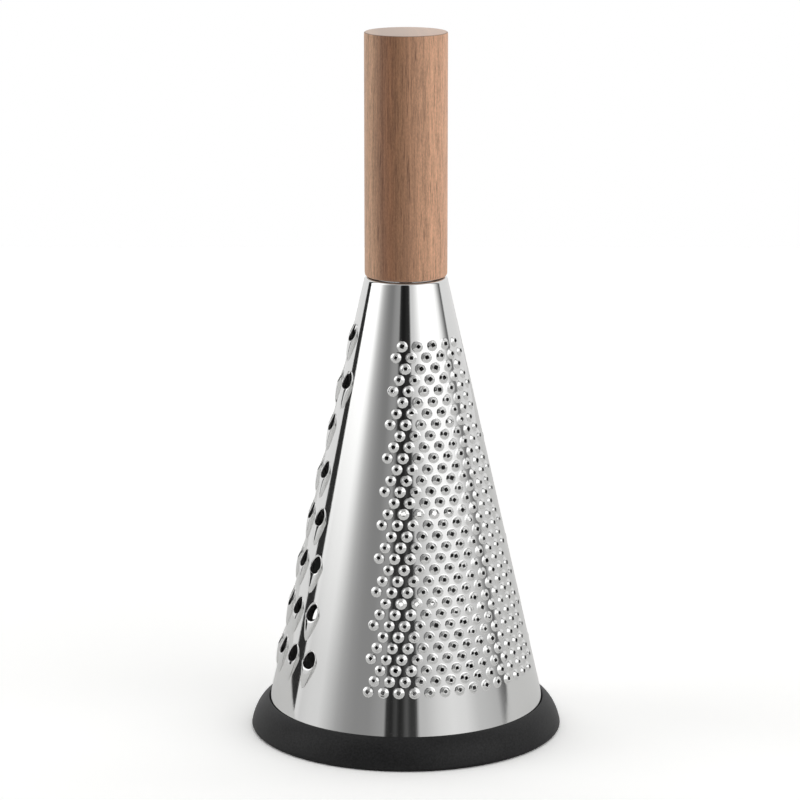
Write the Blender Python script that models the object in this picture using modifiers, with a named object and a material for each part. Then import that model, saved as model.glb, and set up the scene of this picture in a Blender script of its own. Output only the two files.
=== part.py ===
"""Cone grater: a rolled and punched steel cone on a rubber ring, with a turned wooden handle.

Units are metres, +Z is up, and the origin is the centre of the ring's underside. Azimuth 0 is the
front, at -Y, and grows towards +X. A place on the cone is given by its azimuth and by its distance
down the slope from the cone's top corner.
"""
import math

import bmesh
import bpy
from mathutils import Matrix, Vector

# Clearance between pieces that touch, distance at which a turned profile's ends merge, and the angle
# past which an edge looks sharp
GAP = 0.0003
MERGE_DISTANCE = 0.00005
SHARP_ANGLE = 35.0

# Cone: one sheet, rolled, with its top edge turned in as a flange
NECK_RADIUS = 0.0150
CONE_BASE_RADIUS = 0.0524
CONE_HEIGHT = 0.1667
SHEET_THICKNESS = 0.0006
SHOULDER_RADIUS = 0.0012
FLANGE_WIDTH = 0.0032
CONE_STEPS = 36

# Grating zones: one on each side of the fine zone, with bare strips between them. The strip opposite
# the fine zone holds the sheet's seam.
FINE_ZONE_AZIMUTH = 30.0
ZONE_SPACING = 121.3
ZONE_TOP_MARGIN = 0.0225
ZONE_BOTTOM_MARGIN = 0.0240

# Fine zone: small square holes, a corner up the slope
FINE_ROW_PITCH = 0.0040
FINE_TOOTH_PITCH = 0.0056
FINE_ROW_SHIFT = 0.00266
FINE_PHASE = 0.0008
FINE_HOLE_RADIUS = 0.00085
FINE_EDGE_ANGLE_TOP = 40.0
FINE_EDGE_ANGLE_BOTTOM = 47.0
FINE_HOLE_SIDES = 4

# Coarse zone: hooded scoops, open towards the handle, with every second row moved sideways
SCOOP_ROW_PITCH = 0.0170
SCOOP_PITCH = 0.0110
SCOOP_HALF_WIDTH = 0.0031
SCOOP_HEIGHT = 0.0015
SCOOP_HOOD_LENGTH = 0.0088
SCOOP_MOUTH_LENGTH = 0.0055
SCOOP_EDGE_ANGLE_TOP = 27.0
SCOOP_EDGE_ANGLE_BOTTOM = 42.5
SCOOP_STAGGER = 0.5
SCOOP_ROOT_SHARE = 0.2
SCOOP_SIDES = 6

# Slicing zone: long slots with a raised lip, whose ramp bends at a share of its length and height
SLOT_ROW_PITCH = 0.0400
SLOT_LIP_HEIGHT = 0.0020
SLOT_MOUTH_LENGTH = 0.0036
SLOT_RAMP_LENGTH = 0.0090
SLOT_BEND_LENGTH = 0.4
SLOT_BEND_HEIGHT = 0.85
SLOT_END_WALL = 0.0015
SLOT_EDGE_ANGLE_TOP = 34.0
SLOT_EDGE_ANGLE_BOTTOM = 44.0
SLOT_STEPS = 5

# Top plate: pressed cup welded under the flange
PLATE_THICKNESS = 0.0010
PLATE_SKIRT = 0.0070

# Handle: turned hardwood stick
HANDLE_LENGTH = 0.0883
HANDLE_TOP_EDGE = 0.0006
HANDLE_FOOT_EDGE = 0.0014
HANDLE_STEPS = 48
BORE_RELIEF = 0.0020
DRILL_POINT = 0.0015

# Fasteners: machine screw, washers and the bush that the screw turns into
SCREW_RADIUS = 0.0025
SCREW_LENGTH = 0.0180
SCREW_HEAD_RADIUS = 0.0046
SCREW_HEAD_HEIGHT = 0.0032
SCREW_SOCKET_RADIUS = 0.0017
SCREW_SOCKET_DEPTH = 0.0018
SCREW_TIP_CHAMFER = 0.0005
SCREW_HEAD_EDGE = 0.0013
WASHER_RADIUS = 0.0075
WASHER_THICKNESS = 0.0012
LOCK_WASHER_RADIUS = 0.0045
LOCK_WASHER_THICKNESS = 0.0013
LOCK_WASHER_SPLIT = 0.0010
LOCK_WASHER_SPLIT_LEAN = 30.0
INSERT_WALL = 0.0012
INSERT_BARB = 0.0004
INSERT_LENGTH = 0.0110
INSERT_RECESS = 0.0005
INSERT_BARBS = 4
INSERT_BARB_BACK = 0.25
FASTENER_STEPS = 32

# Base ring: rubber, with a groove for the cone's lower edge
RING_FLOOR = 0.0022
RING_HEIGHT = 0.0110
RING_OUTER_WALL = 0.0049
RING_FOOT_EDGE = 0.0012
RING_INNER_WALL = 0.0018
RING_INNER_HEIGHT = 0.0080
RING_LIP = 0.0003
RING_BULGE = 0.6
RING_BULGE_STEPS = 6
RING_STEPS = 64

# Places worked out from the sizes
CONE_BOTTOM = RING_FLOOR + GAP
CONE_TOP = CONE_BOTTOM + CONE_HEIGHT
HANDLE_FOOT = CONE_TOP + GAP
HANDLE_TOP = HANDLE_FOOT + HANDLE_LENGTH
SLOPE_ANGLE = math.atan2(CONE_BASE_RADIUS - NECK_RADIUS, CONE_HEIGHT)
SLOPE_SIN = math.sin(SLOPE_ANGLE)
SLOPE_COS = math.cos(SLOPE_ANGLE)
SLOPE_LENGTH = CONE_HEIGHT / SLOPE_COS
COARSE_ZONE_AZIMUTH = FINE_ZONE_AZIMUTH - ZONE_SPACING
SLICING_ZONE_AZIMUTH = FINE_ZONE_AZIMUTH + ZONE_SPACING
PUNCH_DEPTH = 3 * SHEET_THICKNESS
SCOOP_TAIL_WALL = 2 * SHEET_THICKNESS
SLOT_TAIL_WALL = 3 * SHEET_THICKNESS
SCREW_HOLE_RADIUS = SCREW_RADIUS + GAP
PLATE_TOP = CONE_TOP - SHEET_THICKNESS - GAP
PLATE_BOTTOM = PLATE_TOP - PLATE_THICKNESS
WASHER_TOP = PLATE_BOTTOM - GAP
LOCK_WASHER_TOP = WASHER_TOP - WASHER_THICKNESS - GAP
HEAD_TOP = LOCK_WASHER_TOP - LOCK_WASHER_THICKNESS - GAP
SCREW_TIP = HEAD_TOP + SCREW_LENGTH
INSERT_BOTTOM = HANDLE_FOOT + INSERT_RECESS
INSERT_TOP = INSERT_BOTTOM + INSERT_LENGTH
INSERT_RADIUS = SCREW_HOLE_RADIUS + INSERT_WALL
BORE_RADIUS = INSERT_RADIUS + INSERT_BARB + GAP
BORE_TOP = max(SCREW_TIP, INSERT_TOP) + BORE_RELIEF


def clear_scene():
    """Remove every object that the file starts with."""
    for item in list(bpy.data.objects):
        bpy.data.objects.remove(item, do_unlink=True)


def new_collection(name):
    collection = bpy.data.collections.new(name)
    bpy.context.scene.collection.children.link(collection)
    return collection


def make_material(name, colour, roughness, metallic):
    material = bpy.data.materials.new(name)
    material.use_nodes = True
    shader = material.node_tree.nodes["Principled BSDF"]
    shader.inputs["Base Color"].default_value = (*colour, 1.0)
    shader.inputs["Roughness"].default_value = roughness
    shader.inputs["Metallic"].default_value = metallic
    material.diffuse_color = (*colour, 1.0)
    return material


def add_object(name, mesh, collection, material=None):
    item = bpy.data.objects.new(name, mesh)
    collection.objects.link(item)
    if material:
        mesh.materials.append(material)
    return item


def mesh_from(name, form):
    """Turn a bmesh into a mesh with its faces pointing out."""
    bmesh.ops.recalc_face_normals(form, faces=form.faces)
    mesh = bpy.data.meshes.new(name)
    form.to_mesh(mesh)
    form.free()
    return mesh


def shade_round(item):
    item.data.shade_smooth()
    item.data.set_sharp_from_angle(angle=math.radians(SHARP_ANGLE))


def revolved(name, profile, closed, steps, collection, material):
    """A profile of (radius, height) points, run round Z by a Screw modifier."""
    points = [Vector((radius, 0.0, height)) for radius, height in profile]
    edges = [(i, i + 1) for i in range(len(points) - 1)]
    if closed:
        edges.append((len(points) - 1, 0))
    mesh = bpy.data.meshes.new(name)
    mesh.from_pydata(points, edges, [])
    item = add_object(name, mesh, collection, material)
    screw = item.modifiers.new("Turn", "SCREW")
    screw.axis = "Z"
    screw.angle = math.tau
    screw.steps = steps
    screw.render_steps = steps
    screw.use_merge_vertices = True
    screw.merge_threshold = MERGE_DISTANCE
    screw.use_smooth_shade = True
    return item


def turned(name, profile, steps, collection, material):
    """A turned piece, from the points of its profile down its outer side and back up its inner side.

    A profile that starts and ends on the axis is left open, and any other is closed.
    """
    return revolved(name, profile, profile[0][0] > 0.0, steps, collection, material)


def arc(centre_radius, centre_height, size, start, end, steps):
    """Points of an arc in the profile plane, angles in degrees from +radius towards +height."""
    turn = math.radians(end - start) / steps
    first = math.radians(start)
    return [(centre_radius + size * math.cos(first + turn * i),
             centre_height + size * math.sin(first + turn * i)) for i in range(steps + 1)]


def slope_point(distance, lift=0.0):
    """Radius and height of a point down the slope, lifted off the sheet along its normal."""
    radius = NECK_RADIUS + distance * SLOPE_SIN + lift * SLOPE_COS
    height = CONE_TOP - distance * SLOPE_COS + lift * SLOPE_SIN
    return radius, height


def slope_radius_at(height):
    """Outer radius of the cone at a height."""
    return NECK_RADIUS + (CONE_TOP - height) * math.tan(SLOPE_ANGLE)


def slope_frame(distance, azimuth):
    """Matrix of a place on the cone: X runs round it, Y up the slope, Z out of the sheet."""
    radius, height = slope_point(distance)
    turn = math.radians(azimuth)
    outward = Vector((math.sin(turn), -math.cos(turn), 0.0))
    across = Vector((math.cos(turn), math.sin(turn), 0.0))
    upward = Vector((0.0, 0.0, SLOPE_COS)) - outward * SLOPE_SIN
    normal = outward * SLOPE_COS + Vector((0.0, 0.0, SLOPE_SIN))
    origin = outward * radius + Vector((0.0, 0.0, height))
    frame = Matrix((across, upward, normal)).transposed().to_4x4()
    frame.translation = origin
    return frame


def zone_rows(row_pitch):
    """Distances down the slope of a zone's rows."""
    span = SLOPE_LENGTH - ZONE_TOP_MARGIN - ZONE_BOTTOM_MARGIN
    count = int(span / row_pitch + 0.001) + 1
    return [ZONE_TOP_MARGIN + row_pitch * i for i in range(count)]


def zone_half_width(distance, top_angle, bottom_angle):
    """Half the zone's width along the sheet: straight edges between its two ends."""
    last = SLOPE_LENGTH - ZONE_BOTTOM_MARGIN
    share = (distance - ZONE_TOP_MARGIN) / (last - ZONE_TOP_MARGIN)
    top = math.radians(top_angle) * slope_point(ZONE_TOP_MARGIN)[0]
    bottom = math.radians(bottom_angle) * slope_point(last)[0]
    return top + (bottom - top) * share


def row_azimuths(distance, pitch, offset, half_width, centre):
    """Azimuths of one row's teeth, a pitch apart, as many as the zone's width holds."""
    radius = slope_point(distance)[0]
    first = math.ceil((-half_width - offset) / pitch)
    last = math.floor((half_width - offset) / pitch)
    return [centre + math.degrees((offset + pitch * i) / radius) for i in range(first, last + 1)]


def fine_places():
    """Distance and azimuth of each fine tooth, counted up from the lowest row."""
    places = []
    rows = zone_rows(FINE_ROW_PITCH)
    for count, distance in enumerate(reversed(rows)):
        offset = (FINE_PHASE + FINE_ROW_SHIFT * count) % FINE_TOOTH_PITCH
        half = zone_half_width(distance, FINE_EDGE_ANGLE_TOP, FINE_EDGE_ANGLE_BOTTOM)
        for azimuth in row_azimuths(distance, FINE_TOOTH_PITCH, offset, half, FINE_ZONE_AZIMUTH):
            places.append((distance, azimuth))
    return places


def scoop_places():
    """Distance of the lip and azimuth of each scoop, with every second row moved half a pitch."""
    places = []
    for count, distance in enumerate(zone_rows(SCOOP_ROW_PITCH)):
        offset = SCOOP_PITCH * SCOOP_STAGGER * ((count + 1) % 2)
        half = zone_half_width(distance, SCOOP_EDGE_ANGLE_TOP, SCOOP_EDGE_ANGLE_BOTTOM)
        for azimuth in row_azimuths(distance, SCOOP_PITCH, offset, half, COARSE_ZONE_AZIMUTH):
            places.append((distance, azimuth))
    return places


def scoop_frame(distance, azimuth):
    """A place in the coarse zone, turned as the flat sheet is punched: along the zone's middle line."""
    turn = math.radians(COARSE_ZONE_AZIMUTH - azimuth) * SLOPE_SIN
    return slope_frame(distance, azimuth) @ Matrix.Rotation(turn, 4, "Z")


def add_fine_holes(form):
    """A square prism through the sheet for each fine hole."""
    for distance, azimuth in fine_places():
        bmesh.ops.create_cone(form, cap_ends=True, segments=FINE_HOLE_SIDES,
                              radius1=FINE_HOLE_RADIUS, radius2=FINE_HOLE_RADIUS,
                              depth=2 * PUNCH_DEPTH, matrix=slope_frame(distance, azimuth))


def seat_depth(distance, half_width):
    """How far the curved, faceted sheet falls away under a form of this half width."""
    radius = slope_point(distance)[0]
    return half_width ** 2 / (2 * radius) + radius * (1 - math.cos(math.pi / CONE_STEPS))


def add_egg(form, frame, half_width, rise, sink, below, above):
    """A squashed sphere with upright sides under the sheet: a hood, or the hollow under one.

    It reaches below and above its middle along the slope, rises out of the sheet and sinks into it.
    A reach of 0 above cuts it off square there, as the hood's open end.
    """
    egg = bmesh.new()
    bmesh.ops.create_uvsphere(egg, u_segments=SCOOP_SIDES, v_segments=4, radius=1.0,
                              matrix=Matrix.Rotation(math.radians(90.0), 4, "X"))
    nearly_zero = 1e-4
    tail = [corner for corner in egg.verts if corner.co.y < -nearly_zero]
    bmesh.ops.pointmerge(egg, verts=tail, merge_co=(0.0, -1.0, 0.0))
    if above == 0.0:
        upper = [corner for corner in egg.verts if corner.co.y > nearly_zero]
        bmesh.ops.delete(egg, geom=upper, context="VERTS")
        rim = [edge for edge in egg.edges if edge.is_boundary]
        bmesh.ops.contextual_create(egg, geom=rim)
    for corner in egg.verts:
        if corner.co.z < -nearly_zero:
            side = math.hypot(corner.co.x, corner.co.z) if abs(corner.co.x) > nearly_zero else 0.0
            corner.co.x = math.copysign(side, corner.co.x)
            corner.co.z = -1.0
        corner.co.x *= half_width
        corner.co.y *= above if corner.co.y > 0.0 else below
        corner.co.z *= rise if corner.co.z > 0.0 else sink
    bmesh.ops.transform(egg, matrix=frame, verts=egg.verts)
    bmesh.ops.recalc_face_normals(egg, faces=egg.faces)
    piece = bpy.data.meshes.new("egg")
    egg.to_mesh(piece)
    egg.free()
    form.from_mesh(piece)
    bpy.data.meshes.remove(piece)


def add_scoop_hoods(form):
    """The raised hoods, each sunk until it is rooted a share of the sheet's thickness deep."""
    for distance, azimuth in scoop_places():
        root = seat_depth(distance, SCOOP_HALF_WIDTH) + SHEET_THICKNESS * SCOOP_ROOT_SHARE
        add_egg(form, scoop_frame(distance, azimuth), SCOOP_HALF_WIDTH, SCOOP_HEIGHT, root,
                SCOOP_HOOD_LENGTH, 0.0)


def add_scoop_hollows(form):
    """The space under each hood, which runs up past the lip as the mouth and down through the sheet."""
    for distance, azimuth in scoop_places():
        add_egg(form, scoop_frame(distance, azimuth), SCOOP_HALF_WIDTH - SHEET_THICKNESS,
                SCOOP_HEIGHT - SHEET_THICKNESS, PUNCH_DEPTH,
                SCOOP_HOOD_LENGTH - SCOOP_TAIL_WALL, SCOOP_MOUTH_LENGTH)


def add_slot_form(form, distance, outline, half_angle):
    """A closed outline of (down, lift) points on the slope, spun round Z through the slot's width."""
    start = Matrix.Rotation(math.radians(SLICING_ZONE_AZIMUTH - 90.0 - half_angle), 3, "Z")
    corners = []
    for down, lift in outline:
        radius, height = slope_point(distance + down, lift)
        corners.append(form.verts.new(start @ Vector((radius, 0.0, height))))
    face = form.faces.new(corners)
    bmesh.ops.spin(form, geom=[face, *face.edges, *face.verts], cent=(0.0, 0.0, 0.0),
                   axis=(0.0, 0.0, 1.0), angle=math.radians(2 * half_angle), steps=SLOT_STEPS,
                   use_duplicate=False)


def slot_half_angle(distance):
    half = zone_half_width(distance, SLOT_EDGE_ANGLE_TOP, SLOT_EDGE_ANGLE_BOTTOM)
    return math.degrees(half / slope_point(distance)[0])


def add_slot_hoods(form):
    """The raised lip and the ramp behind it, rooted in the sheet and closed at both ends."""
    outline = [(0.0, -SHEET_THICKNESS / 2), (0.0, SLOT_LIP_HEIGHT),
               (SLOT_RAMP_LENGTH * SLOT_BEND_LENGTH, SLOT_LIP_HEIGHT * SLOT_BEND_HEIGHT),
               (SLOT_RAMP_LENGTH, -SHEET_THICKNESS / 2)]
    for distance in zone_rows(SLOT_ROW_PITCH):
        wall_angle = math.degrees(SLOT_END_WALL / slope_point(distance)[0])
        add_slot_form(form, distance, outline, slot_half_angle(distance) + wall_angle)


def add_slot_hollows(form):
    """The space under the ramp, which runs up past the lip as the mouth and down through the sheet."""
    inner_lip = SLOT_LIP_HEIGHT - SHEET_THICKNESS
    inner_end = SLOT_RAMP_LENGTH - SLOT_TAIL_WALL
    outline = [(-SLOT_MOUTH_LENGTH, -PUNCH_DEPTH), (-SLOT_MOUTH_LENGTH, inner_lip),
               (inner_end * SLOT_BEND_LENGTH, inner_lip * SLOT_BEND_HEIGHT),
               (inner_end, -SHEET_THICKNESS / 2), (inner_end, -PUNCH_DEPTH)]
    for distance in zone_rows(SLOT_ROW_PITCH):
        add_slot_form(form, distance, outline, slot_half_angle(distance))


def add_boolean(item, name, operation, cutter):
    cutter.hide_render = True
    cutter.display_type = "WIRE"
    modifier = item.modifiers.new(name, "BOOLEAN")
    modifier.operation = operation
    modifier.solver = "EXACT"
    modifier.object = cutter


def make_grater_cone(parts, cutters, material):
    """The sheet as an open turned surface given its thickness, then its teeth raised and punched."""
    lean = math.degrees(SLOPE_ANGLE)
    corner = SHOULDER_RADIUS * math.tan(math.radians((90.0 - lean) / 2))
    shoulder = arc(NECK_RADIUS - corner, CONE_TOP - SHOULDER_RADIUS, SHOULDER_RADIUS, 90.0, lean, 3)
    inner_edge = NECK_RADIUS - FLANGE_WIDTH
    rim_drop = SHEET_THICKNESS * SLOPE_SIN
    low_end = (slope_radius_at(CONE_BOTTOM + rim_drop), CONE_BOTTOM + rim_drop)
    profile = [(inner_edge, CONE_TOP)] + shoulder + [low_end]
    cone = revolved("grater_cone", profile, False, CONE_STEPS, parts, material)
    wall = cone.modifiers.new("Sheet", "SOLIDIFY")
    wall.thickness = SHEET_THICKNESS
    wall.offset = -1.0
    wall.use_even_offset = True

    raised = bmesh.new()
    add_scoop_hoods(raised)
    add_slot_hoods(raised)
    raised_teeth = add_object("raised_teeth", mesh_from("raised_teeth", raised), cutters)
    add_boolean(cone, "Raise teeth", "UNION", raised_teeth)
    punched = bmesh.new()
    add_fine_holes(punched)
    add_scoop_hollows(punched)
    add_slot_hollows(punched)
    tooth_punches = add_object("tooth_punches", mesh_from("tooth_punches", punched), cutters)
    add_boolean(cone, "Punch teeth", "DIFFERENCE", tooth_punches)
    return cone


def make_top_plate(parts, material):
    """A disc with a skirt that follows the inside of the cone, drawn as one closed profile."""
    clearance = (SHEET_THICKNESS + GAP) / SLOPE_COS
    skirt_bottom = PLATE_TOP - PLATE_SKIRT
    rim_top = slope_radius_at(PLATE_TOP - SHOULDER_RADIUS) - clearance
    rim_bottom = slope_radius_at(skirt_bottom) - clearance
    profile = [(SCREW_HOLE_RADIUS, PLATE_TOP), (rim_top - SHOULDER_RADIUS, PLATE_TOP),
               (rim_top, PLATE_TOP - SHOULDER_RADIUS), (rim_bottom, skirt_bottom),
               (rim_bottom - PLATE_THICKNESS, skirt_bottom),
               (rim_top - PLATE_THICKNESS, PLATE_BOTTOM), (SCREW_HOLE_RADIUS, PLATE_BOTTOM)]
    return turned("top_plate", profile, CONE_STEPS, parts, material)


def make_handle(parts, material):
    """A round stick with eased edges and a blind bore, with a drill point, up from its foot."""
    top = arc(NECK_RADIUS - HANDLE_TOP_EDGE, HANDLE_TOP - HANDLE_TOP_EDGE,
              HANDLE_TOP_EDGE, 90.0, 0.0, 2)
    foot = arc(NECK_RADIUS - HANDLE_FOOT_EDGE, HANDLE_FOOT + HANDLE_FOOT_EDGE,
               HANDLE_FOOT_EDGE, 0.0, -90.0, 3)
    profile = [(0.0, HANDLE_TOP)] + top + foot
    profile += [(BORE_RADIUS, HANDLE_FOOT), (BORE_RADIUS, BORE_TOP), (0.0, BORE_TOP + DRILL_POINT)]
    return turned("handle", profile, HANDLE_STEPS, parts, material)


def make_threaded_insert(parts, material):
    """A bush with saw-tooth barbs that bite into the wood."""
    barb_pitch = INSERT_LENGTH / INSERT_BARBS
    profile = [(INSERT_RADIUS, INSERT_TOP)]
    for i in range(INSERT_BARBS):
        low = INSERT_TOP - barb_pitch * (i + 1)
        profile.append((INSERT_RADIUS + INSERT_BARB, low + barb_pitch * INSERT_BARB_BACK))
        profile.append((INSERT_RADIUS, low))
    profile += [(SCREW_HOLE_RADIUS, INSERT_BOTTOM), (SCREW_HOLE_RADIUS, INSERT_TOP)]
    return turned("threaded_insert", profile, FASTENER_STEPS, parts, material)


def make_handle_screw(parts, cutters, material):
    """Shank up, pan head down, with a hexagon socket in the head."""
    head_bottom = HEAD_TOP - SCREW_HEAD_HEIGHT
    profile = [(0.0, SCREW_TIP), (SCREW_RADIUS - SCREW_TIP_CHAMFER, SCREW_TIP),
               (SCREW_RADIUS, SCREW_TIP - SCREW_TIP_CHAMFER), (SCREW_RADIUS, HEAD_TOP),
               (SCREW_HEAD_RADIUS, HEAD_TOP)]
    profile += arc(SCREW_HEAD_RADIUS - SCREW_HEAD_EDGE, head_bottom + SCREW_HEAD_EDGE,
                   SCREW_HEAD_EDGE, 0.0, -90.0, 3)
    profile.append((0.0, head_bottom))
    screw = turned("handle_screw", profile, FASTENER_STEPS, parts, material)
    socket = bmesh.new()
    place = Matrix.Translation((0.0, 0.0, head_bottom))
    bmesh.ops.create_cone(socket, cap_ends=True, segments=6, radius1=SCREW_SOCKET_RADIUS,
                          radius2=SCREW_SOCKET_RADIUS, depth=2 * SCREW_SOCKET_DEPTH, matrix=place)
    add_boolean(screw, "Socket", "DIFFERENCE", add_object("socket", mesh_from("socket", socket), cutters))
    return screw


def make_flat_washer(parts, material):
    low = WASHER_TOP - WASHER_THICKNESS
    profile = [(SCREW_HOLE_RADIUS, WASHER_TOP), (WASHER_RADIUS, WASHER_TOP), (WASHER_RADIUS, low),
               (SCREW_HOLE_RADIUS, low)]
    return turned("flat_washer", profile, FASTENER_STEPS, parts, material)


def make_lock_washer(parts, cutters, material):
    """A spring washer, split on one side."""
    low = LOCK_WASHER_TOP - LOCK_WASHER_THICKNESS
    profile = [(SCREW_HOLE_RADIUS, LOCK_WASHER_TOP), (LOCK_WASHER_RADIUS, LOCK_WASHER_TOP),
               (LOCK_WASHER_RADIUS, low), (SCREW_HOLE_RADIUS, low)]
    washer = turned("lock_washer", profile, FASTENER_STEPS, parts, material)
    split = bmesh.new()
    size = Matrix.Diagonal((2 * LOCK_WASHER_RADIUS, LOCK_WASHER_SPLIT, 3 * LOCK_WASHER_THICKNESS, 1.0))
    place = Matrix.Translation((LOCK_WASHER_RADIUS, 0.0, low + LOCK_WASHER_THICKNESS / 2))
    lean = Matrix.Rotation(math.radians(LOCK_WASHER_SPLIT_LEAN), 4, "X")
    bmesh.ops.create_cube(split, size=1.0, matrix=place @ lean @ size)
    add_boolean(washer, "Split", "DIFFERENCE", add_object("split", mesh_from("split", split), cutters))
    return washer


def make_base_ring(parts, material):
    """A U shaped rubber section: thick rounded outside, groove for the sheet, thin inner wall.

    The outside runs from the lip to the widest point on a mix of a quarter ellipse and a straight line.
    """
    clearance_out = GAP / SLOPE_COS
    clearance_in = (SHEET_THICKNESS + GAP) / SLOPE_COS
    top_radius = slope_radius_at(RING_HEIGHT) + clearance_out
    wide_radius = CONE_BASE_RADIUS + RING_OUTER_WALL
    lip_radius = top_radius + RING_LIP
    outer = []
    for i in range(RING_BULGE_STEPS):
        straight = 1.0 - i / RING_BULGE_STEPS
        turn = math.radians(90.0) * straight
        reach = RING_BULGE * math.cos(turn) + (1.0 - RING_BULGE) * (1.0 - straight)
        rise = RING_BULGE * math.sin(turn) + (1.0 - RING_BULGE) * straight
        outer.append((lip_radius + (wide_radius - lip_radius) * reach,
                      RING_FOOT_EDGE + (RING_HEIGHT - RING_FOOT_EDGE) * rise))
    foot = arc(wide_radius - RING_FOOT_EDGE, RING_FOOT_EDGE, RING_FOOT_EDGE, 0.0, -90.0, 3)
    groove_low_in = slope_radius_at(RING_FLOOR) - clearance_in
    groove_top_in = slope_radius_at(RING_INNER_HEIGHT) - clearance_in
    inner_radius = groove_top_in - RING_INNER_WALL
    profile = [(top_radius, RING_HEIGHT)] + outer + foot
    profile += [(inner_radius + RING_FOOT_EDGE / 2, 0.0), (inner_radius, RING_FOOT_EDGE / 2)]
    profile += [(inner_radius, RING_INNER_HEIGHT), (groove_top_in, RING_INNER_HEIGHT)]
    profile += [(groove_low_in, RING_FLOOR), (slope_radius_at(RING_FLOOR) + clearance_out, RING_FLOOR)]
    return turned("base_ring", profile, RING_STEPS, parts, material)


def main():
    clear_scene()
    parts = new_collection("cone_grater")
    cutters = new_collection("cutters")
    steel = make_material("Polished stainless steel", (0.62, 0.62, 0.62), 0.22, 1.0)
    zinc = make_material("Zinc plated steel", (0.52, 0.53, 0.55), 0.35, 1.0)
    brass = make_material("Brass", (0.70, 0.48, 0.20), 0.30, 1.0)
    wood = make_material("Oiled hardwood", (0.20, 0.085, 0.045), 0.50, 0.0)
    rubber = make_material("Black rubber", (0.022, 0.022, 0.023), 0.60, 0.0)
    pieces = [
        make_grater_cone(parts, cutters, steel),
        make_top_plate(parts, steel),
        make_handle(parts, wood),
        make_threaded_insert(parts, brass),
        make_handle_screw(parts, cutters, zinc),
        make_flat_washer(parts, zinc),
        make_lock_washer(parts, cutters, zinc),
        make_base_ring(parts, rubber),
    ]
    for piece in pieces:
        shade_round(piece)


main()
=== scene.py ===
"""Looks of a cone grater: a rolled and punched steel cone on a rubber ring, with a turned handle.

Metres, +Z up. Azimuth 0 is the front, at -Y, and grows towards +X. A place on the cone is given by
its azimuth, its distance down the slope from the cone's top corner, and its lift off the sheet.
"""
import math

import bpy
import numpy as np
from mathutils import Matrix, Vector
from mathutils.geometry import delaunay_2d_cdt


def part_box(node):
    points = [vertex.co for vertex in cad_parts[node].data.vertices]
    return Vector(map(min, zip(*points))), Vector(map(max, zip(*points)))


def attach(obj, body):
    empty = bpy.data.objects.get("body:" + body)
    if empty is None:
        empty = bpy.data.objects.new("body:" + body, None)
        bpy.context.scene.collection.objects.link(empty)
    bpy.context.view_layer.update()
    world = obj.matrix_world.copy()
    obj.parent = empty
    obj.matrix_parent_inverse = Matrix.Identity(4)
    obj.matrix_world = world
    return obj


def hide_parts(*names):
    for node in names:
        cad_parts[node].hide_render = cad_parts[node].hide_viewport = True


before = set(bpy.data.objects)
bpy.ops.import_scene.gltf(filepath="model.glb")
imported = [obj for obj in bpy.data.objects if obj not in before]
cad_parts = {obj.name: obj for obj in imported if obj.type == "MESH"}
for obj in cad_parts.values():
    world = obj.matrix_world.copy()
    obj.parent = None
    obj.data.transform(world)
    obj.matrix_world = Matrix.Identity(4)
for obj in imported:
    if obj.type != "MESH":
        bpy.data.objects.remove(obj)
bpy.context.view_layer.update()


# Studio: a pale table in a white tent, with a soft panel on each side of the camera that fades towards
# the front and its foot. The tent is open behind the camera, its roof is greyer there, and a dark gap
# stands beyond the table's near left edge. Polished steel shows all this as its stripes.
CAMERA_DISTANCE = 1.200
CAMERA_HEIGHT = 0.3954
CAMERA_PITCH = 12.78
FOCAL_PIXELS = 3370.7
PHOTO_PIXELS = 800
AXIS_PIXEL = 406.0
SENSOR_MM = 36.0
ROOF_LEVELS = (1.12, 0.50)
ROOF_SHADE = (-0.25, 0.0)
ROOF_EDGE = (38.0, 70.0)
WALL_LEVEL = 0.86
PANEL_LEVEL = 1.50
# How bright the walls are above and below the shade line, as (azimuth in degrees, level)
UPPER_WALLS = [
    (-180.0, WALL_LEVEL), (-120.0, WALL_LEVEL), (-113.0, 1.45), (-78.0, PANEL_LEVEL), (-72.0, 1.28),
    (-68.0, 1.04), (-64.0, 0.78), (-60.0, 0.60), (-54.0, 0.43), (-47.0, 0.31), (-40.0, 0.24),
    (-33.0, 0.23), (-25.0, 0.32), (-15.4, 0.36), (-13.8, 0.04), (-8.0, 0.012), (-2.0, 0.015),
    (2.0, 0.025), (8.4, 0.03), (10.4, 0.74), (16.0, 0.75), (24.0, 0.97), (33.0, 1.35),
    (50.0, PANEL_LEVEL), (72.0, 1.45), (82.0, 1.12), (91.0, 0.55), (97.5, 0.20), (101.5, 0.05),
    (103.0, 0.85), (180.0, WALL_LEVEL),
]
LOWER_WALLS = [
    (-180.0, 0.82), (-104.0, 0.82), (-100.0, 0.72), (-90.0, 0.78), (-79.0, 0.79), (-70.0, 0.62),
    (-60.0, 0.42), (-52.0, 0.33), (-44.0, 0.29), (-32.0, 0.29), (-22.0, 0.35), (-18.0, 0.37),
    (-17.2, 0.04), (-12.0, 0.02), (-9.0, 0.08), (-6.0, 0.02), (-3.0, 0.03), (0.5, 0.12), (3.5, 0.04),
    (9.4, 0.05), (10.4, 0.58), (16.0, 0.58), (28.0, 0.76), (40.0, 0.86), (52.0, 0.82), (64.0, 0.62),
    (85.5, 0.52), (91.0, 0.25), (95.0, 0.16), (98.0, 0.10), (99.0, 0.60), (180.0, 0.82),
]
SHADE_LINE_RISE = 0.412
SHADE_LINE = (-0.281, -0.173)
PANEL_GAP_AZIMUTH = -114.2
PANEL_GAP_HALF_WIDTH = 6.7
PANEL_GAP_LEVEL = 0.03


def linear(code):
    """Linear colour of an sRGB hex value such as #9A7B66."""
    channels = [int(code[i:i + 2], 16) / 255 for i in (1, 3, 5)]
    return [c / 12.92 if c <= 0.04045 else ((c + 0.055) / 1.055) ** 2.4 for c in channels] + [1.0]


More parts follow.
